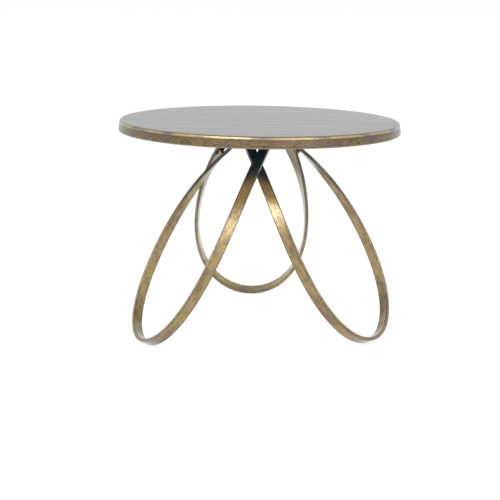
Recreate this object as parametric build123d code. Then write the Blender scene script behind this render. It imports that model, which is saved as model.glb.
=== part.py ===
from build123d import *
import os
from math import acos, atan, atan2, cos, degrees, radians, sin, sqrt

# Cake stand: one pressed sheet-iron plate on three petals, which are open loops bent
# from flat strip. Millimetres and degrees. The origin is on the floor, on the plate's
# axis; +Z is up, and the back petal's foot points along +Y.

# Whole stand
stand_height = 155.0
plate_diameter = 205.0

# Plate: a flat disc, its edge rolled over and turned down, the lower edge folded inwards
sheet = 1.0
rim_height = 8.0
rim_flare = 0.7  # how far the rim's lower edge stands outside its upper edge
roll_radius = 1.8  # outside radius of the rolled top corner
hem_height = 2.4  # the hem is two sheets thick
hem_corner = 0.8

# Petals: flat strip, its width square to the loop low down and level under the plate
strip_width = 7.5
strip_thickness = 2.6
strip_corner = 0.5
place_angle = {"back": 0.0, "left": 120.0, "right": 240.0}
foot_radius = {"back": 90.3, "left": 97.3, "right": 93.7}
half_width = {"back": 42.3, "left": 45.6, "right": 46.0}
swing = 9.0  # the loop stands turned about its slope, so that neighbours pass
full_rise = 152.1  # from the foot of a loop's line to where it would close at the top
top_radius = 10.0  # where a straight loop would close
top_curl = 22.5  # how much further in than that its top bends
curl_power = 5  # high, so that the bend is all near the top
taper = 0.11  # makes the loop fuller low down and narrower above
leg_rise = 0.85  # above this part of the full rise the two legs run to the plate
leg_bend = 0.5  # the part of its lean that a leg loses on the way
leg_overrun = 1.15  # legs are made this much too long, then cut off flush
turn_power = 3  # the strip turns about its own line, and mostly near the top
sections_per_side = 22

# Welds
crossing_weld_radius = 2.3  # a short round bead, bridging the gap between two strips
plate_weld_leg = 1.8  # how far the bead reaches over the plate and down the strip
plate_weld_toe = 0.2  # the bead's thickness where it thins out on the strip
cut_clearance = 0.01  # a notch and a bead stop this far short of the strip they fit

# Worked out from the dimensions above
underside = stand_height - sheet
rim_radius = plate_diameter / 2
leg_turn = degrees(acos(2 * leg_rise - 1))
turn_step = 0.01  # a small turn, for finding directions
neighbour = {"back": "left", "left": "right", "right": "back"}
leg_sides = {"inner": 1, "outer": -1}  # the sign of turn on each leg
upwards = Vector(0, 0, 1)


def plate():
    """Pressed disc: half of its section turned about the plate's axis."""
    bottom = stand_height - rim_height
    upper = rim_radius - rim_flare
    hem_inside = rim_radius - 2 * sheet
    corners = [
        (0, stand_height, 0),
        (upper, stand_height, roll_radius),
        (rim_radius, bottom, hem_corner),
        (hem_inside, bottom, hem_corner),
        (hem_inside, bottom + hem_height, 0),
        (rim_radius - sheet, bottom + hem_height, 0),
        (upper - sheet, underside, roll_radius - sheet),
        (0, underside, 0),
    ]
    points = [(radius, 0, height) for radius, height, _ in corners]
    rounding = [corner for _, _, corner in corners]
    outline = FilletPolyline(*points, radius=rounding, close=True)
    return revolve(make_face(outline), Axis.Z, 360)


def foot_lift(petal):
    """Height of the loop's line at its foot, for the strip's lowest edge to touch the floor.

    It is half the leaning strip's depth, and how far the swung loop dips beside its foot.
    """
    lean = atan2(foot_radius[petal] - top_radius, full_rise)
    width_dip = cos(radians(swing)) * sin(lean)
    flat_width = strip_width / 2 - strip_corner
    flat_thickness = strip_thickness / 2 - strip_corner
    depth = flat_width * width_dip + flat_thickness * sqrt(1 - width_dip**2) + strip_corner
    dip = half_width[petal] * (1 + 2 * taper) * sin(radians(swing)) * sin(lean)
    return depth + dip**2 / full_rise


def rise_at(turn):
    """Part of the full rise, from 1 where the loop would close at the top to 0 at its foot."""
    return (1 + cos(radians(turn))) / 2


def loop_point(petal, turn):
    """Point on the loop's line, with turn 0 at the top and 180 degrees at the foot."""
    rise = rise_at(turn)
    lean = foot_radius[petal] - top_radius
    radial = foot_radius[petal] - lean * rise - top_curl * rise**curl_power
    angle = radians(turn)
    sideways = half_width[petal] * (sin(angle) - taper * sin(2 * angle))
    across = loop_directions(petal, turn)[0]
    return Vector(0, radial, foot_lift(petal) + full_rise * rise) + across * sideways


def loop_directions(petal, turn):
    """The loop's crosswise direction, and the one square to the loop."""
    lean = foot_radius[petal] - top_radius
    steepness = lean + top_curl * curl_power * rise_at(turn) ** (curl_power - 1)
    slope = Vector(0, -steepness, full_rise).normalized()
    outward = Vector(0, -slope.Z, slope.Y)
    across = Vector(cos(radians(swing)), 0, 0) + outward * sin(radians(swing))
    return across, across.cross(slope)


def loop_heading(petal, turn):
    """Direction of the loop's line as turn grows."""
    ahead = loop_point(petal, turn + turn_step)
    behind = loop_point(petal, turn - turn_step)
    return (ahead - behind).normalized()


def strip_axes(petal, turn):
    """The strip's heading, and its width and thickness directions before it is turned."""
    heading = loop_heading(petal, turn)
    thickness = heading.cross(loop_directions(petal, turn)[1]).normalized()
    return heading, thickness.cross(heading), thickness


def level_angle(petal, side):
    """How far the strip has turned about its own line where a leg begins, its width level."""
    _, width, thickness = strip_axes(petal, side * leg_turn)
    return atan(-width.Z / thickness.Z)


def loop_plane(petal, turn):
    """Plane square to the strip on the curved part of the loop."""
    side = 1 if sin(radians(turn)) > 0 else -1
    angle = level_angle(petal, side) * (rise_at(turn) / leg_rise) ** turn_power
    heading, width, thickness = strip_axes(petal, turn)
    turned = width * cos(angle) + thickness * sin(angle)
    return Plane(origin=loop_point(petal, turn), x_dir=turned, z_dir=heading)


def leg_plane(petal, side, part):
    """Plane square to a leg, at a part of the way from the loop to the plate's underside.

    The leg goes on the way the loop ends and loses part of its lean. Its width stays level.
    """
    start = loop_plane(petal, side * leg_turn)
    lean = start.z_dir * (1 / start.z_dir.Z) - upwards
    climb = underside - start.origin.Z
    run = lean * climb * (part - leg_bend * part * part / 2)
    heading = lean * (1 - leg_bend * part) + upwards
    return Plane(
        origin=start.origin + run + upwards * climb * part,
        x_dir=start.x_dir,
        z_dir=heading.normalized() * -side,
    )


def petal_planes(petal):
    """Section planes from one strip end, round the foot, to the other end."""
    step = (180 - leg_turn) / sections_per_side
    turns = [leg_turn + step * i for i in range(2 * sections_per_side + 1)]
    parts = (0.25, 0.5, 0.75, 1, leg_overrun)
    first = [leg_plane(petal, 1, part) for part in reversed(parts)]
    last = [leg_plane(petal, -1, part) for part in parts]
    return first + [loop_plane(petal, turn) for turn in turns] + last


def petal_strip(petal, skin=0):
    """Open loop of flat strip, its two ends cut off level at the plate's underside.

    With a skin, it is the strip made that much thicker all round, for cutting.
    """
    grow = 2 * skin
    outline = RectangleRounded(strip_width + grow, strip_thickness + grow, strip_corner)
    strip = loft([plane * outline for plane in petal_planes(petal)])
    strip = split(strip, Plane.XY.offset(underside), keep=Keep.BOTTOM)
    return Rot(0, 0, place_angle[petal]) * strip


def leg_line(petal, leg, samples=80):
    """Points on the centre line down the upper half of one leg, in the stand's frame."""
    spin = Rot(0, 0, place_angle[petal])
    turns = [leg_turn + (90 - leg_turn) * i / samples for i in range(samples + 1)]
    points = [loop_point(petal, leg_sides[leg] * turn) for turn in turns]
    return [(spin * Pos(point)).position for point in points]


def crossing_weld(petal, cutters):
    """Short round bead that joins two neighbouring legs where they pass closest."""
    pairs = [
        (a, b)
        for a in leg_line(petal, "outer")
        for b in leg_line(neighbour[petal], "inner")
    ]
    a, b = min(pairs, key=lambda pair: (pair[0] - pair[1]).length)
    bridge = Plane(origin=(a + b) / 2, z_dir=(b - a).normalized())
    bead = bridge * Cylinder(crossing_weld_radius, (b - a).length)
    return bead - cutters[petal] - cutters[neighbour[petal]]


def plate_weld(petal, leg, cutters):
    """Fillet bead all round one strip end, under the plate."""
    side = leg_sides[leg]
    end = leg_plane(petal, side, 1)
    climb = underside - loop_point(petal, side * leg_turn).Z
    lower_end = leg_plane(petal, side, 1 - plate_weld_leg / climb)
    depth = strip_thickness / abs(end.z_dir.Z)
    wide = 2 * plate_weld_leg
    thin = 2 * plate_weld_toe
    upper = RectangleRounded(strip_width + wide, depth + wide, plate_weld_leg)
    lower = RectangleRounded(strip_width + thin, depth + thin, strip_corner)
    top_plane = Plane(origin=end.origin, x_dir=end.x_dir, z_dir=upwards)
    low_plane = Plane(origin=lower_end.origin, x_dir=end.x_dir, z_dir=upwards)
    bead = loft([low_plane * lower, top_plane * upper])
    return Rot(0, 0, place_angle[petal]) * bead - cutters[petal]


cutters = {name: petal_strip(name, cut_clearance) for name in place_angle}
parts = {"cake_plate": plate()}
for name in place_angle:
    # Where an outer leg would run into its neighbour's inner leg, it is notched.
    parts[f"petal_{name}"] = petal_strip(name) - cutters[neighbour[name]]
    parts[f"crossing_weld_{name}_{neighbour[name]}"] = crossing_weld(name, cutters)
    for leg in leg_sides:
        parts[f"plate_weld_{name}_{leg}"] = plate_weld(name, leg, cutters)

os.makedirs("parts", exist_ok=True)
for name, shape in parts.items():
    export_step(shape, f"parts/{name}.step")
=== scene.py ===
from math import acos, atan, atan2, cos, degrees, hypot, radians, sin, sqrt, tau

import bpy
from mathutils import Matrix, Vector, noise


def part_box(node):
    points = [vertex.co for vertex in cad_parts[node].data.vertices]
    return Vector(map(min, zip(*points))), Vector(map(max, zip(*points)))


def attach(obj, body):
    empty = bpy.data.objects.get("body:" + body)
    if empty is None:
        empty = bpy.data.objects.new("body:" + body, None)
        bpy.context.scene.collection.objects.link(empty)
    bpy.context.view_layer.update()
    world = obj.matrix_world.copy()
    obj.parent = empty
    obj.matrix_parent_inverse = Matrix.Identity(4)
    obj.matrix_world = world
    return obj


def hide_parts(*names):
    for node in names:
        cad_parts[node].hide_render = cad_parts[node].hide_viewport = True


# Cake stand in antique gold: a pressed plate on three petals bent from flat strip.
# The shapes follow the same rules as the part's solids. They are worked out in
# millimetres and degrees, as the part's are, and become metres when a mesh is made.
# Only the studio and the camera are placed in metres.

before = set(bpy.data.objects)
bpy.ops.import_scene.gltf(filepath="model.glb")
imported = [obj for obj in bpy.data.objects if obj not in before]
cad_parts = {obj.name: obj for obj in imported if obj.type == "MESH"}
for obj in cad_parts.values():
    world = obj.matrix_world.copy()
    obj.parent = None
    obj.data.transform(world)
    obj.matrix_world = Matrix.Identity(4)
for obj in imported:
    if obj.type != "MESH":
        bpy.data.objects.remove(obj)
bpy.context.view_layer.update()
MM = 0.001

# Sizes that the frame gives
plate_low, plate_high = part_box("cake_plate")
stand_height = plate_high.z / MM
rim_radius = (plate_high.x - plate_low.x) / 2 / MM
rim_height = (plate_high.z - plate_low.z) / MM

# Plate
sheet = 1.0
rim_flare = 0.7  # how far the rim's lower edge stands outside its upper edge
wall_slant = 5  # how far the flare turns the rim's wall from upright
roll_radius = 1.8  # outside radius of the rolled top corner
hem_height = 2.4
hem_corner = 0.8
hem_gap = 0.12  # the slit between the rim and the hem folded up inside it
slit_floor = 1.2  # the slit's closed end, above the rim's lower edge
disc_spacing = 3  # between the rings of points on the flat of the plate
disc_middle = 2  # radius of the innermost ring
plate_steps = 320  # round the plate
roll_steps = 14  # round the rolled top corner
hem_steps = 8  # round each other corner
lip_steps = 10  # round the hem's free edge
plate_waves = 0.05  # depth of the pressed sheet's faint unevenness
wave_size = 38
calm_margin = 4  # there is no unevenness this near the rim
wave_growth = 20  # and its full depth comes this much further in

# Petals
strip_width = 7.5
strip_thickness = 2.6
strip_corner = 0.5
place_angle = {"back": 0.0, "left": 120.0, "right": 240.0}
foot_radius = {"back": 90.3, "left": 97.3, "right": 93.7}
half_width = {"back": 42.3, "left": 45.6, "right": 46.0}
swing = 9.0  # the loop stands turned about its slope, so that neighbours pass
full_rise = 152.1  # from the foot of a loop's line to where it would close at the top
top_radius = 10.0  # where a straight loop would close
top_curl = 22.5  # how much further in than that its top bends
curl_power = 5
taper = 0.11  # makes the loop fuller low down and narrower above
leg_rise = 0.85  # above this part of the full rise the two legs run to the plate
leg_bend = 0.5  # the part of its lean that a leg loses on the way
turn_power = 3  # the strip turns about its own line, and mostly near the top
leg_steps = 24
loop_steps = 260
corner_steps = 4
end_band = 0.2  # points this near the plate are moved when a strip's end is cut level
edge_wear = 0.10  # the most that wear and rolling take off the strip
dent_share = 0.35  # the part of that which is dents from rolling, the rest being nicks
dent_size = 5
nick_size = 1.6
nicked_part = 0.8  # nicks begin this far out towards a corner of the strip's section
neighbour = {"back": "left", "left": "right", "right": "back"}
leg_sides = {"inner": 1, "outer": -1}  # the sign of turn on each leg

# Welds
crossing_weld_radius = 2.3
crossing_waist = 0.10  # the part of its radius that the bead loses half way along
crossing_lumps = 0.12  # and the part that its lumps vary by
lump_size = 1.5
crossing_rows = 30
crossing_columns = 40
plate_weld_leg = 1.8  # how far the bead reaches over the plate and down the strip
bead_toe = 0.12  # its thickness where it thins out on the strip, as a part of that
bead_curve = 1.15  # above 1, the bead's face bulges
bead_ripple = 0.1  # the part of its size that the bead's ripples vary by
ripple_spacing = 1.15  # the turn of the ripple's wave, in radians, from point to point
bead_corner_steps = 8
bead_long_steps = 22  # beside the strip's wide faces
bead_short_steps = 6  # beside its narrow faces, and up the bead's own face

# Worked out
underside = stand_height - sheet
rim_bottom = stand_height - rim_height
upper_radius = rim_radius - rim_flare
turn_step = 0.01  # a small turn, for finding directions
leg_turn = degrees(acos(2 * leg_rise - 1))
upwards = Vector((0, 0, 1))


# Meshes


def mesh_object(name, points, faces, coordinates, material):
    """Smooth mesh from points in millimetres. coordinates are the material's, one a point."""
    mesh = bpy.data.meshes.new(name)
    mesh.from_pydata([Vector(point) * MM for point in points], [], faces)
    mesh.polygons.foreach_set("use_smooth", [True] * len(mesh.polygons))
    local = mesh.attributes.new("local", "FLOAT_VECTOR", "POINT")
    local.data.foreach_set("vector", [value for place in coordinates for value in place])
    mesh.validate()
    mesh.update()
    mesh.materials.append(material)
    made = bpy.data.objects.new(name, mesh)
    bpy.context.scene.collection.objects.link(made)
    return made


def stand_in(made, node):
    """The piece takes the place of a node of the frame."""
    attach(made, "root")
    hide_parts(node)


def grid_faces(rows, columns, closed_rows=False):
    """Quads between rows of points, each row a closed ring."""
    count = rows if closed_rows else rows - 1
    faces = []
    for row in range(count):
        above = (row + 1) % rows * columns
        for column in range(columns):
            beside = (column + 1) % columns
            here = row * columns
            faces.append((here + column, here + beside, above + beside, above + column))
    return faces


def capped_faces(rows, columns):
    """The same, with one face over the first ring and one over the last."""
    last = (rows - 1) * columns
    faces = grid_faces(rows, columns)
    faces.append(tuple(range(columns - 1, -1, -1)))
    faces.append(tuple(range(last, last + columns)))
    return faces


def arc(centre, radius, start, end, steps):
    """Points on an arc."""
    angles = [radians(start + (end - start) * i / steps) for i in range(steps + 1)]
    return [(centre[0] + radius * cos(a), centre[1] + radius * sin(a)) for a in angles]


def line(first, last, steps):
    """Evenly spaced points between first and last, which are left out."""
    way = (last[0] - first[0], last[1] - first[1])
    parts = [i / steps for i in range(1, steps)]
    return [(first[0] + way[0] * part, first[1] + way[1] * part) for part in parts]


def fine_noise(point, size, seed=0):
    """Smooth noise between about -1 and 1 whose bumps are size millimetres wide."""
    return noise.noise(Vector(point) / size + Vector((seed * 17.0, seed * 5.0, seed * 11.0)))


def bumps(point, size, seed=0):
    """The same noise, between about 0 and 1."""
    return 0.5 + 0.5 * fine_noise(point, size, seed)


# Plate


def plate_profile():
    """Outline of half the plate's section, as (radius, height), from the top's centre round
    the rolled corner and the hem to the underside's centre."""
    top_end = int(upper_radius - roll_radius) - 1
    top = [(radius, stand_height) for radius in range(disc_middle, top_end, disc_spacing)]
    corner_centre = (upper_radius - roll_radius, stand_height - roll_radius)
    corner = arc(corner_centre, roll_radius, 90, -wall_slant, roll_steps)
    lower_centre = (rim_radius - hem_corner, rim_bottom + hem_corner)
    lower = arc(lower_centre, hem_corner, -wall_slant, -90, hem_steps)
    wall = line(corner[-1], lower[0], 8)

    hem_inside = rim_radius - 2 * sheet
    wall_inside = rim_radius - sheet
    fold_centre = (hem_inside + hem_corner, rim_bottom + hem_corner)
    fold = arc(fold_centre, hem_corner, 270, 180, hem_steps)
    lip_radius = (sheet - hem_gap) / 2
    lip_centre = (hem_inside + lip_radius, rim_bottom + hem_height - lip_radius)
    lip = arc(lip_centre, lip_radius, 180, 0, lip_steps)
    slit_height = rim_bottom + slit_floor
    slit = [(wall_inside - hem_gap, slit_height), (wall_inside, slit_height)]

    inner_roll = roll_radius - sheet
    inside_centre = (upper_radius - roll_radius, underside - inner_roll)
    inside_corner = arc(inside_centre, inner_roll, -wall_slant, 90, hem_steps)
    just_above_slit = (wall_inside, slit_height + 0.2)
    just_below_corner = (upper_radius - sheet, underside - 2 * inner_roll)
    inside_wall = line(just_above_slit, just_below_corner, 6) + [just_below_corner]
    below_start = int(upper_radius - calm_margin)
    below = [(radius, underside) for radius in range(below_start, 1, -disc_spacing)]
    outside = top + corner + wall + lower
    hem = fold + lip + slit
    return outside + hem + inside_wall + inside_corner + below


def make_plate(material):
    """The pressed plate, turned about the stand's axis, a little uneven as pressed sheet is."""
    profile = plate_profile()
    points = []
    for radius, height in profile:
        growth = min(1.0, max(0.0, (rim_radius - calm_margin - radius) / wave_growth))
        for step in range(plate_steps):
            angle = tau * step / plate_steps
            place = Vector((radius * cos(angle), radius * sin(angle), height))
            place.z -= plate_waves * growth * bumps((place.x, place.y, 0), wave_size)
            points.append(place)
    faces = [tuple(reversed(face)) for face in capped_faces(len(profile), plate_steps)]
    made = mesh_object("plate_pressed", points, faces, points, material)
    stand_in(made, "cake_plate")


# Petals


def foot_lift(petal):
    """Height of the loop's line at its foot, for the strip's lowest edge to touch the floor.

    It is half the leaning strip's depth, and how far the swung loop dips beside its foot.
    """
    lean = atan2(foot_radius[petal] - top_radius, full_rise)
    width_dip = cos(radians(swing)) * sin(lean)
    flat_width = strip_width / 2 - strip_corner
    flat_thickness = strip_thickness / 2 - strip_corner
    depth = flat_width * width_dip + flat_thickness * sqrt(1 - width_dip**2) + strip_corner
    dip = half_width[petal] * (1 + 2 * taper) * sin(radians(swing)) * sin(lean)
    return depth + dip**2 / full_rise


def rise_at(turn):
    """Part of the full rise, from 1 where the loop would close at the top to 0 at its foot."""
    return (1 + cos(radians(turn))) / 2


def loop_directions(petal, turn):
    """The loop's crosswise direction, and the one square to the loop."""
    lean = foot_radius[petal] - top_radius
    steepness = lean + top_curl * curl_power * rise_at(turn) ** (curl_power - 1)
    slope = Vector((0, -steepness, full_rise)).normalized()
    outward = Vector((0, -slope.z, slope.y))
    across = Vector((cos(radians(swing)), 0, 0)) + outward * sin(radians(swing))
    return across, across.cross(slope)


def loop_point(petal, turn):
    """Point on the loop's line, with turn 0 at the top and 180 degrees at the foot."""
    rise = rise_at(turn)
    lean = foot_radius[petal] - top_radius
    radial = foot_radius[petal] - lean * rise - top_curl * rise**curl_power
    angle = radians(turn)
    sideways = half_width[petal] * (sin(angle) - taper * sin(2 * angle))
    across = loop_directions(petal, turn)[0]
    return Vector((0, radial, foot_lift(petal) + full_rise * rise)) + across * sideways


def strip_axes(petal, turn):
    """The strip's heading, and its width and thickness directions before it is turned."""
    ahead = loop_point(petal, turn + turn_step)
    behind = loop_point(petal, turn - turn_step)
    heading = (ahead - behind).normalized()
    thickness = heading.cross(loop_directions(petal, turn)[1]).normalized()
    return heading, thickness.cross(heading), thickness


def loop_section(petal, turn):
    """Point, width direction and heading. Upwards the strip turns, and on the legs its width
    is level."""
    side = 1 if sin(radians(turn)) > 0 else -1
    _, width, thickness = strip_axes(petal, side * leg_turn)
    angle = atan(-width.z / thickness.z) * (rise_at(turn) / leg_rise) ** turn_power
    heading, width, thickness = strip_axes(petal, turn)
    return loop_point(petal, turn), width * cos(angle) + thickness * sin(angle), heading


def leg_section(petal, side, part):
    """Point, width direction and heading on a leg, at a part of its way to the plate."""
    start, width, heading = loop_section(petal, side * leg_turn)
    lean = heading / heading.z - upwards
    climb = underside - start.z
    point = start + lean * climb * (part - leg_bend * part * part / 2) + upwards * climb * part
    upright = lean * (1 - leg_bend * part) + upwards
    return point, width, upright.normalized() * -side


def strip_sections(petal):
    """Sections from one strip end, round the foot, to the other end, in the stand's frame."""
    parts = [(i + 1) / leg_steps for i in range(leg_steps)]
    turns = [leg_turn + (360 - 2 * leg_turn) * i / loop_steps for i in range(loop_steps + 1)]
    sections = [leg_section(petal, 1, part) for part in reversed(parts)]
    sections += [loop_section(petal, turn) for turn in turns]
    sections += [leg_section(petal, -1, part) for part in parts]
    spin = Matrix.Rotation(radians(place_angle[petal]), 3, "Z")
    return [(spin @ point, spin @ width, spin @ along) for point, width, along in sections]


def strip_outline():
    """Rounded rectangle, closer spaced beside its corners, as (across, through)."""
    edge = strip_width / 2
    face = strip_thickness / 2
    flat_edge = edge - strip_corner
    flat_face = face - strip_corner
    face_parts = [-0.97, -0.85, -0.5, 0, 0.5, 0.85, 0.97]
    edge_parts = [-0.9, -0.4, 0.4, 0.9]
    outline = arc((flat_edge, flat_face), strip_corner, 0, 90, corner_steps)
    outline += [(-flat_edge * part, face) for part in face_parts]
    outline += arc((-flat_edge, flat_face), strip_corner, 90, 180, corner_steps)
    outline += [(-edge, -flat_face * part) for part in edge_parts]
    outline += arc((-flat_edge, -flat_face), strip_corner, 180, 270, corner_steps)
    outline += [(flat_edge * part, -face) for part in face_parts]
    outline += arc((flat_edge, -flat_face), strip_corner, 270, 360, corner_steps)
    outline += [(edge, flat_face * part) for part in edge_parts]
    return outline


def wear_depth(place, across, through):
    """How far rolling dents the strip at a point of its outline, and wear nicks its corners."""
    out = 1.42 * hypot(across / strip_width, through / strip_thickness)
    at_corner = max(0.0, min(1.0, out) - nicked_part) / (1 - nicked_part)
    nick = at_corner * max(0.0, fine_noise(place, nick_size, 2))
    dent = bumps(place, dent_size, 1)
    return edge_wear * (dent_share * dent + (1 - dent_share) * nick)


def cut_level(points, index, step):
    """Slides an end point, and those behind it that are too high, to the plate's underside.

    step leads from the end along the strip. Each moves along the strip's own edge.
    """
    slid = [index]
    while points[slid[-1]].z > underside - end_band or len(slid) < 2:
        slid.append(slid[-1] + step)
    edge = points[slid[-1]]
    way = (points[index] - edge).normalized()
    full = (underside - edge.z) / way.z
    for count, moved in enumerate(slid[:-1]):
        points[moved] = edge + way * full * (1 - count / (len(slid) - 1))


def make_strip(petal, material):
    """One petal: flat strip, its corners a little worn and its faces a little uneven.

    The material's coordinates are along the strip, across it and through it.
    """
    outline = strip_outline()
    sections = strip_sections(petal)
    points = []
    coordinates = []
    travelled = 0.0
    previous = sections[0][0]
    for origin, width, along in sections:
        travelled += (origin - previous).length
        previous = origin
        thickness = along.cross(width)
        for across, through in outline:
            place = origin + width * across + thickness * through
            inward = Vector((across, through)).normalized() * wear_depth(place, across, through)
            points.append(place - width * inward.x - thickness * inward.y)
            coordinates.append((travelled, across, through))
    size = len(outline)
    for index in range(size):
        cut_level(points, index, size)
        cut_level(points, len(points) - 1 - index, -size)
    faces = capped_faces(len(sections), size)
    made = mesh_object(f"strip_{petal}", points, faces, coordinates, material)
    stand_in(made, f"petal_{petal}")


# Welds


def leg_line(petal, leg, samples=80):
    """Points on the centre line down the upper half of one leg, in the stand's frame."""
    spin = Matrix.Rotation(radians(place_angle[petal]), 3, "Z")
    turns = [leg_turn + (90 - leg_turn) * i / samples for i in range(samples + 1)]
    return [spin @ loop_point(petal, leg_sides[leg] * turn) for turn in turns]


def make_crossing_weld(petal, material):
    """A lumpy short bead of weld metal that joins two neighbouring legs where they pass."""
    inner_line = leg_line(neighbour[petal], "inner")
    pairs = [(a, b) for a in leg_line(petal, "outer") for b in inner_line]
    start, end = min(pairs, key=lambda pair: (pair[0] - pair[1]).length)
    way = (end - start).normalized()
    first = way.orthogonal().normalized()
    second = way.cross(first)
    points = []
    for row in range(crossing_rows):
        part = row / (crossing_rows - 1)
        centre = start + (end - start) * part
        radius = crossing_weld_radius * (1 - crossing_waist * sin(part * radians(180)))
        for column in range(crossing_columns):
            angle = tau * column / crossing_columns
            out = first * cos(angle) + second * sin(angle)
            lump = bumps(centre + out * crossing_weld_radius, lump_size, 3)
            points.append(centre + out * radius * (1 - crossing_lumps * lump))
    faces = capped_faces(crossing_rows, crossing_columns)
    name = f"{petal}_{neighbour[petal]}"
    made = mesh_object(f"drop_{name}", points, faces, points, material)
    stand_in(made, f"crossing_weld_{name}")


def weld_ring(flat_edge, flat_face):
    """Places round a strip's end, each with the way out from it; the corners are fans."""
    corners = [
        (flat_edge, flat_face),
        (-flat_edge, flat_face),
        (-flat_edge, -flat_face),
        (flat_edge, -flat_face),
    ]
    ring = []
    for index, corner in enumerate(corners):
        ways = arc((0, 0), 1, 90 * index, 90 * index + 90, bead_corner_steps)
        ring += [(corner, way) for way in ways]
        steps = bead_short_steps if index % 2 else bead_long_steps
        side = line(corner, corners[(index + 1) % 4], steps)
        ring += [(place, ways[-1]) for place in side]
    return ring


def bead_profile():
    """A fillet bead's section as parts of its leg: out from the strip, and down from the
    plate. It runs down the strip, round the toe and back up the bead's face."""
    toe_foot = 0.96
    toe_tip = 0.99
    profile = [(0.0, 0.0), (0.0, toe_foot), (bead_toe, toe_tip)]
    for i in range(1, bead_short_steps + 1):
        part = i / bead_short_steps
        profile.append((bead_toe + (1 - bead_toe) * part, toe_tip * (1 - part**bead_curve)))
    return profile


def make_plate_weld(petal, leg, material):
    """A rippled fillet bead all round one strip end, under the plate."""
    spin = Matrix.Rotation(radians(place_angle[petal]), 3, "Z")
    origin, width, heading = leg_section(petal, leg_sides[leg], 1)
    downward = spin @ (heading / -heading.z)
    origin = spin @ origin
    across = spin @ width
    through = upwards.cross(across)
    cut_thickness = strip_thickness / abs(heading.z)
    ring = weld_ring(strip_width / 2 - strip_corner, cut_thickness / 2 - strip_corner)
    profile = bead_profile()
    points = []
    for index, (place, way) in enumerate(ring):
        size = plate_weld_leg * (1 - bead_ripple * (1 - sin(index * ripple_spacing)))
        for out, down in profile:
            reach = strip_corner + size * out
            flat = across * (place[0] + way[0] * reach) + through * (place[1] + way[1] * reach)
            points.append(origin + flat + downward * size * down)
    faces = grid_faces(len(ring), len(profile), closed_rows=True)
    made = mesh_object(f"bead_{petal}_{leg}", points, faces, points, material)
    stand_in(made, f"plate_weld_{petal}_{leg}")


# Materials


def add(tree, kind, inputs=None, **settings):
    """A node with its settings and its inputs, which are values or other nodes' outputs."""
    made = tree.nodes.new(kind)
    for key, value in settings.items():
        setattr(made, key, value)
    for key, value in (inputs or {}).items():
        if isinstance(value, bpy.types.NodeSocket):
            tree.links.new(value, made.inputs[key])
        else:
            made.inputs[key].default_value = value
    return made


def calculate(tree, operation, *values):
    """A Math node's result."""
    return add(tree, "ShaderNodeMath", dict(enumerate(values)), operation=operation).outputs[0]


def times(tree, *values):
    """The product of values, which are numbers or sockets."""
    product = values[0]
    for value in values[1:]:
        product = calculate(tree, "MULTIPLY", product, value)
    return product


def fade(tree, value, low, high, out_low=0.0, out_high=1.0):
    """value from low to high becomes out_low to out_high, eased."""
    inputs = {"Value": value, 1: low, 2: high, 3: out_low, 4: out_high}
    return add(tree, "ShaderNodeMapRange", inputs, interpolation_type="SMOOTHSTEP").outputs[0]


def cover(tree, tone, colour, *parts):
    """tone with colour laid over it, as thickly as the product of parts says, from 0 to 1.

    tone and colour are each a socket or a linear colour.
    """
    under, over = [
        value if isinstance(value, bpy.types.NodeSocket) else (*value, 1.0)
        for value in (tone, colour)
    ]
    inputs = {0: times(tree, *parts), 6: under, 7: over}
    return add(tree, "ShaderNodeMix", inputs, data_type="RGBA").outputs[2]


def speckle(tree, place, stretch, scale, detail, rough, warp=0.0):
    """Noise over coordinates in millimetres, stretched, as a value."""
    mapped = add(tree, "ShaderNodeMapping", {"Vector": place, "Scale": stretch}).outputs[0]
    inputs = {"Vector": mapped, "Scale": scale, "Detail": detail, "Roughness": rough}
    inputs["Distortion"] = warp
    return add(tree, "ShaderNodeTexNoise", inputs, noise_dimensions="3D").outputs[0]


GOLD = (0.32, 0.213, 0.074)
PALE_GOLD = (0.46, 0.35, 0.150)
HIGHLIGHT_GOLD = (0.56, 0.44, 0.24)
LIT_UNDER_GOLD = (0.74, 0.60, 0.37)
BROWN = (0.13, 0.085, 0.042)
DARK_BROWN = (0.05, 0.036, 0.028)
SMOKE = (0.10, 0.088, 0.095)
CHARCOAL = (0.035, 0.031, 0.030)
BLUE_BLACK = (0.12, 0.18, 0.22)
BRUSHED_DARK = (0.132, 0.105, 0.067)
BRUSHED_PALE = (0.154, 0.125, 0.081)
BASE_COAT_SHADE = (0.035, 0.065, 0.090)

# Where the finish changes, in millimetres
gilding_starts = 62  # the underside is bare base coat inside this radius, dark as painted shade
gilding_blur = 9  # half the breadth of the change there
gilding_wander = 40  # and how far in and out it wanders, in all
wear_starts = 0.25  # bright wear begins this far from a strip's corner
wear_full = 0.08  # and is full this far from it
line_starts = 1.1  # the same for the dark line beside the corner, on the wide faces
line_full = 0.55
highlight_starts = 2.3  # the rolled corner carries a painted highlight from this far below the plate's top
highlight_full = 1.7
highlight_fades = 0.5  # and gives way to the brushed top here
highlight_ends = 0.2
painted_dark_lines = ((0.25, 0.7), (2.6, 0.85))  # depth and strength of the dark lines beside it: a painted reflection above, painted shade in the crease below


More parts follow.
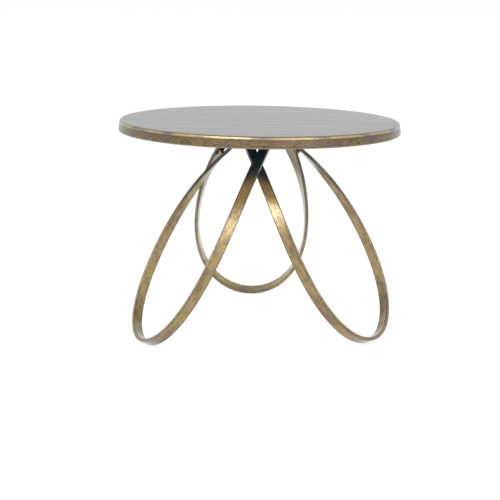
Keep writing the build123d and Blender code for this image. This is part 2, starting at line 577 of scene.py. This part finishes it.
def gilt_tone(tree, place, stretch, brown_most):
    """Antique gold's colour with brown and grey patina, its streaks and its fine grit.

    stretch is the streaks' scale along each axis, brown_most how well the brown covers.
    """
    streaks = speckle(tree, place, stretch, 1.3, 4.0, 0.65)
    blotches = speckle(tree, place, (0.42, 0.42, 0.42), 1.0, 6.0, 0.7, 0.5)
    clouds = speckle(tree, place, (0.09, 0.09, 0.09), 1.0, 3.0, 0.55)
    grit = speckle(tree, place, (1.0, 1.0, 1.0), 2.2, 3.0, 0.7)
    tone = cover(tree, GOLD, PALE_GOLD, fade(tree, streaks, 0.38, 0.68))
    tone = cover(tree, tone, BROWN, fade(tree, blotches, 0.48, 0.70, 0.0, brown_most))
    tone = cover(tree, tone, SMOKE, fade(tree, clouds, 0.50, 0.70, 0.0, 0.5))
    tone = cover(tree, tone, BROWN, fade(tree, grit, 0.54, 0.70, 0.0, 0.55))
    return tone, streaks, blotches, grit


def gilt_shader(tree, tone, streaks, blotches, grit, bump_height, coat=1.0, glance=(1, 1, 1)):
    """Satin lacquered metal, with the streaks and the grit standing up as a fine relief.

    bump_height is in millimetres, and glance is the tint seen at a flat angle.
    """
    shader = add(
        tree,
        "ShaderNodeBsdfPrincipled",
        {
            "Base Color": tone,
            "Metallic": 1.0,
            "Roughness": fade(tree, blotches, 0.3, 0.7, 0.28, 0.42),
            "Specular Tint": (*glance, 1.0),
            "Coat Weight": coat,
            "Coat Roughness": 0.18,
            "Coat IOR": 1.5,
        },
    )
    height = calculate(tree, "ADD", streaks, times(tree, grit, 0.6))
    inputs = {"Strength": 0.25, "Distance": bump_height * MM, "Height": height}
    bump = add(tree, "ShaderNodeBump", inputs)
    tree.links.new(bump.outputs[0], shader.inputs["Normal"])
    output = add(tree, "ShaderNodeOutputMaterial")
    tree.links.new(shader.outputs[0], output.inputs["Surface"])


def new_tree(name):
    """A material with an empty node tree, and the piece's own coordinates."""
    material = bpy.data.materials.new(name)
    material.use_nodes = True
    tree = material.node_tree
    tree.nodes.clear()
    place = add(tree, "ShaderNodeAttribute", attribute_name="local").outputs["Vector"]
    return material, tree, place


def strip_painted_shade(tree, tone, on_edge, through):
    """Darkens parts of the strips by their place on the stand, which the object's own
    coordinates give in metres: painted shade at the back and under the plate, a painted
    reflection of the plate's dark underside on the outer faces near the top, and darker
    towards the foot."""
    stand = add(tree, "ShaderNodeTexCoord").outputs["Object"]
    _, back, rise = add(tree, "ShaderNodeSeparateXYZ", {"Vector": stand}).outputs
    # Painted shade: greyer on the back petal's upper part, under the plate.
    at_back = fade(tree, back, 18 * MM, 35 * MM)
    tone = cover(tree, tone, SMOKE, at_back, fade(tree, rise, 40 * MM, 70 * MM), 0.5)
    # Painted shade: the strips' narrow edges are darker towards the plate.
    edge_shade = fade(tree, rise, 75 * MM, 112 * MM, 0.15, 0.95)
    tone = cover(tree, tone, CHARCOAL, on_edge, edge_shade)
    # Painted reflection: the outer faces turn blue-black towards the plate, as they would
    # mirror its dark underside.
    outer_face = fade(tree, through, -0.9 * strip_thickness / 2, 0.0, 1.0, 0.0)
    dark_reflection_band = fade(tree, rise, 108 * MM, 130 * MM)
    tone = cover(tree, tone, BLUE_BLACK, outer_face, dark_reflection_band, 0.8)
    # Painted shade: everything is darker close under the plate.
    plate_shade = fade(tree, rise, 105 * MM, 150 * MM, 0.0, 0.5)
    # Darker towards the foot.
    foot_darkening = fade(tree, rise, 3 * MM, 14 * MM, 0.4, 0.0)
    return cover(tree, tone, CHARCOAL, calculate(tree, "MAXIMUM", plate_shade, foot_darkening))


def strip_gold(name):
    """For the strips, whose coordinates are along, across and through: mottled brass with
    thin dark lines beside its corners, and bright wear on the corners themselves."""
    material, tree, place = new_tree(name)
    _, across, through = add(tree, "ShaderNodeSeparateXYZ", {"Vector": place}).outputs
    from_middle = calculate(tree, "ABSOLUTE", across)
    from_core = calculate(tree, "ABSOLUTE", through)
    edge = strip_width / 2
    face = strip_thickness / 2
    on_edge = fade(tree, from_middle, edge - wear_starts, edge - wear_full)
    on_face = fade(tree, from_core, face - wear_starts, face - wear_full)
    near_edge = fade(tree, from_middle, edge - line_starts, edge - line_full)

    tone, streaks, blotches, grit = gilt_tone(tree, place, (0.16, 1.2, 1.2), 0.75)
    scratches = speckle(tree, place, (0.10, 3.2, 3.2), 1.0, 3.0, 0.7)
    zones = speckle(tree, place, (0.035, 0.12, 0.12), 1.0, 3.0, 0.6)
    tone = cover(tree, tone, BROWN, fade(tree, scratches, 0.52, 0.68, 0.0, 0.75))
    tone = cover(tree, tone, PALE_GOLD, fade(tree, scratches, 0.48, 0.34, 0.0, 0.5))
    tone = cover(tree, tone, BROWN, fade(tree, zones, 0.49, 0.62, 0.0, 0.6))
    broken = fade(tree, streaks, 0.42, 0.6, 0.8, 0.3)
    tone = cover(tree, tone, CHARCOAL, near_edge, on_face, broken)
    tone = strip_painted_shade(tree, tone, on_edge, through)
    worn = fade(tree, blotches, 0.45, 0.6, 0.9, 0.2)
    tone = cover(tree, tone, PALE_GOLD, on_edge, on_face, worn)
    gilt_shader(tree, tone, streaks, blotches, grit, 0.06)
    return material


def weld_gold(name):
    """For the weld beads: the same gold with less brown, and a rougher relief."""
    material, tree, place = new_tree(name)
    tone, streaks, blotches, grit = gilt_tone(tree, place, (0.6, 0.6, 0.6), 0.5)
    gilt_shader(tree, tone, streaks, blotches, grit, 0.12)
    return material


def rim_tone(tree, tone, place, height, radius, off_top):
    """Browns and smudges the rim, paints a highlight on its rolled corner between painted dark
    lines, and brightens its lower edge.
    """
    dashes = speckle(tree, place, (0.22, 0.22, 1.4), 1.6, 4.0, 0.7, 0.4)
    smudges = speckle(tree, place, (0.05, 0.05, 0.16), 1.0, 4.0, 0.65)
    tone = cover(tree, tone, BROWN, off_top, 0.6)
    tone = cover(tree, tone, DARK_BROWN, off_top, fade(tree, dashes, 0.49, 0.60, 0.0, 0.9))

    # Painted highlight: a bright gold band along the rolled corner.
    bright = fade(tree, height, stand_height - highlight_starts, stand_height - highlight_full)
    fading = (stand_height - highlight_fades, stand_height - highlight_ends)
    tone = cover(tree, tone, HIGHLIGHT_GOLD, bright, fade(tree, height, *fading, 1.0, 0.0), 0.7)
    # Thin dark lines beside the highlight: a painted reflection just under the top, and painted
    # shade in the crease below the roll.
    outside = fade(tree, radius, rim_radius - 2.6, rim_radius - 2.0)
    for depth, strength in painted_dark_lines:
        above_line = calculate(tree, "SUBTRACT", height, stand_height - depth)
        apart = calculate(tree, "ABSOLUTE", above_line)
        tone = cover(tree, tone, BROWN, fade(tree, apart, 0.15, 0.5, strength, 0.0), outside)

    tone = cover(tree, tone, SMOKE, off_top, fade(tree, smudges, 0.48, 0.64, 0.0, 0.7))
    lower_edge = fade(tree, height, rim_bottom + 0.3, rim_bottom + 1.2, 0.45, 0.0)
    return cover(tree, tone, PALE_GOLD, lower_edge)


def underside_tone(tree, tone, place, height, radius):
    """Light gold round a ragged middle of bare base coat. The pale ring is painted light and
    the dark middle is painted shade, for the strips to reflect.
    """
    inside = fade(tree, radius, rim_radius - 2.0, rim_radius - 1.7, 1.0, 0.0)
    below = fade(tree, height, underside + 0.2, underside + 0.5, 1.0, 0.0)
    under = times(tree, inside, below)
    # Painted light: the underside's outer ring is paler gold, as if lit from the floor.
    tone = cover(tree, tone, LIT_UNDER_GOLD, under, 0.8)
    # Painted shade: a dark middle of bare base coat, where the underside lies in shade.
    ragged = speckle(tree, place, (0.06, 0.06, 0.06), 1.0, 5.0, 0.65)
    wander = calculate(tree, "MULTIPLY_ADD", ragged, gilding_wander, -gilding_wander / 2)
    reach = calculate(tree, "ADD", radius, wander)
    edge = (gilding_starts - gilding_blur, gilding_starts + gilding_blur)
    return cover(tree, tone, BASE_COAT_SHADE, under, fade(tree, reach, *edge, 1.0, 0.0))


def plate_gold(name):
    """For the plate: brushed grey-gold on top, mottled brown gold on the rim, a painted
    highlight on the rolled corner between painted dark lines, and the bare base coat in the
    middle underneath, dark as painted shade, with a pale ring round it as painted light, for
    the strips to reflect."""
    material, tree, place = new_tree(name)
    x, y, height = add(tree, "ShaderNodeSeparateXYZ", {"Vector": place}).outputs
    flat = add(tree, "ShaderNodeCombineXYZ", {"X": x, "Y": y}).outputs[0]
    radius = add(tree, "ShaderNodeVectorMath", {0: flat}, operation="LENGTH").outputs["Value"]
    level = fade(tree, height, stand_height - highlight_fades, stand_height - highlight_ends)
    off_top = fade(tree, level, 0.0, 0.5, 1.0, 0.0)
    within_roll = fade(tree, radius, rim_radius - 3.2, rim_radius - 2.2, 1.0, 0.0)

    tone, _, _, grit = gilt_tone(tree, place, (0.22, 0.22, 0.5), 0.85)
    brushing = speckle(tree, place, (0.02, 0.5, 0.5), 1.0, 4.0, 0.6)
    brushed = cover(tree, BRUSHED_DARK, BRUSHED_PALE, fade(tree, brushing, 0.35, 0.65))
    tone = cover(tree, tone, brushed, within_roll, level)
    tone = rim_tone(tree, tone, place, height, radius, off_top)
    tone = underside_tone(tree, tone, place, height, radius)
    bluish = (0.84, 0.90, 1.0)
    gilt_shader(tree, tone, brushing, brushing, grit, 0.02, coat=0.5, glance=bluish)
    return material


plate_material = plate_gold("plate_gold_rubbed_with_painted_light")
strip_material = strip_gold("petal_gold_rubbed_with_painted_shade")
weld_material = weld_gold("weld_gold_rubbed")

make_plate(plate_material)
for petal in place_angle:
    make_strip(petal, strip_material)
    make_crossing_weld(petal, weld_material)
    for leg in leg_sides:
        make_plate_weld(petal, leg, weld_material)


# Studio, in metres


def floor_white():
    """Matt white that glows enough to wash its shadows out, as a lit white sweep does."""
    material = bpy.data.materials.new("floor_white")
    material.use_nodes = True
    shader = material.node_tree.nodes["Principled BSDF"]
    shader.inputs["Base Color"].default_value = (0.2, 0.2, 0.2, 1.0)
    shader.inputs["Roughness"].default_value = 0.9
    shader.inputs["Specular IOR Level"].default_value = 0.0
    shader.inputs["Emission Color"].default_value = (1.0, 1.0, 1.0, 1.0)
    shader.inputs["Emission Strength"].default_value = 0.85
    return material


def make_floor():
    """A wide plain floor."""
    reach = 12.0
    mesh = bpy.data.meshes.new("floor")
    corners = [(-reach, -reach, 0), (reach, -reach, 0), (reach, reach, 0), (-reach, reach, 0)]
    mesh.from_pydata(corners, [], [(0, 1, 2, 3)])
    mesh.materials.append(floor_white())
    made = bpy.data.objects.new("floor", mesh)
    bpy.context.scene.collection.objects.link(made)


def softbox(name, place, width, height, power):
    """A rectangular area light at place, facing the stand."""
    lamp = bpy.data.lights.new(name, "AREA")
    lamp.shape = "RECTANGLE"
    lamp.size = width
    lamp.size_y = height
    lamp.energy = power
    made = bpy.data.objects.new(name, lamp)
    made.location = place
    made.rotation_mode = "QUATERNION"
    way = Vector((0, 0, 0.1)) - Vector(place)
    made.rotation_quaternion = way.to_track_quat("-Z", "Y")
    bpy.context.scene.collection.objects.link(made)


def make_world():
    """Even white light from all round."""
    world = bpy.data.worlds.new("studio")
    world.use_nodes = True
    background = world.node_tree.nodes["Background"]
    background.inputs["Color"].default_value = (1.0, 1.0, 1.0, 1.0)
    background.inputs["Strength"].default_value = 1.0
    bpy.context.scene.world = world


make_floor()
make_world()
softbox("left_light", (-0.55, -0.98, 0.95), width=0.8, height=0.75, power=9.5)
softbox("right_light", (0.60, -1.05, 0.62), width=0.8, height=0.40, power=3)
bpy.context.scene.view_settings.view_transform = "Standard"


# Camera: a long lens from the front, a little above the plate and a little to the left

camera_target = Vector((0, 0, 0.075))
camera_distance = 0.8426
camera_side = radians(5.43)  # from straight in front, towards -X
camera_rise = radians(11.78)
camera_roll = radians(0.93)
camera_lens = 81.67
camera_shift = (-0.0160, -0.0465)  # across and up, as parts of the picture's width


def make_camera():
    """The scene's camera, turned to its target, then rolled."""
    made = bpy.data.objects.new("camera", bpy.data.cameras.new("camera"))
    made.data.lens = camera_lens
    made.data.shift_x, made.data.shift_y = camera_shift
    outward = (-sin(camera_side) * cos(camera_rise), -cos(camera_side) * cos(camera_rise))
    back = Vector((*outward, sin(camera_rise)))
    made.location = camera_target + back * camera_distance
    turn_to_target = (-back).to_track_quat("-Z", "Y").to_matrix()
    rolled = turn_to_target @ Matrix.Rotation(camera_roll, 3, "Z")
    made.rotation_euler = rolled.to_euler()
    bpy.context.scene.collection.objects.link(made)
    bpy.context.scene.camera = made


make_camera()
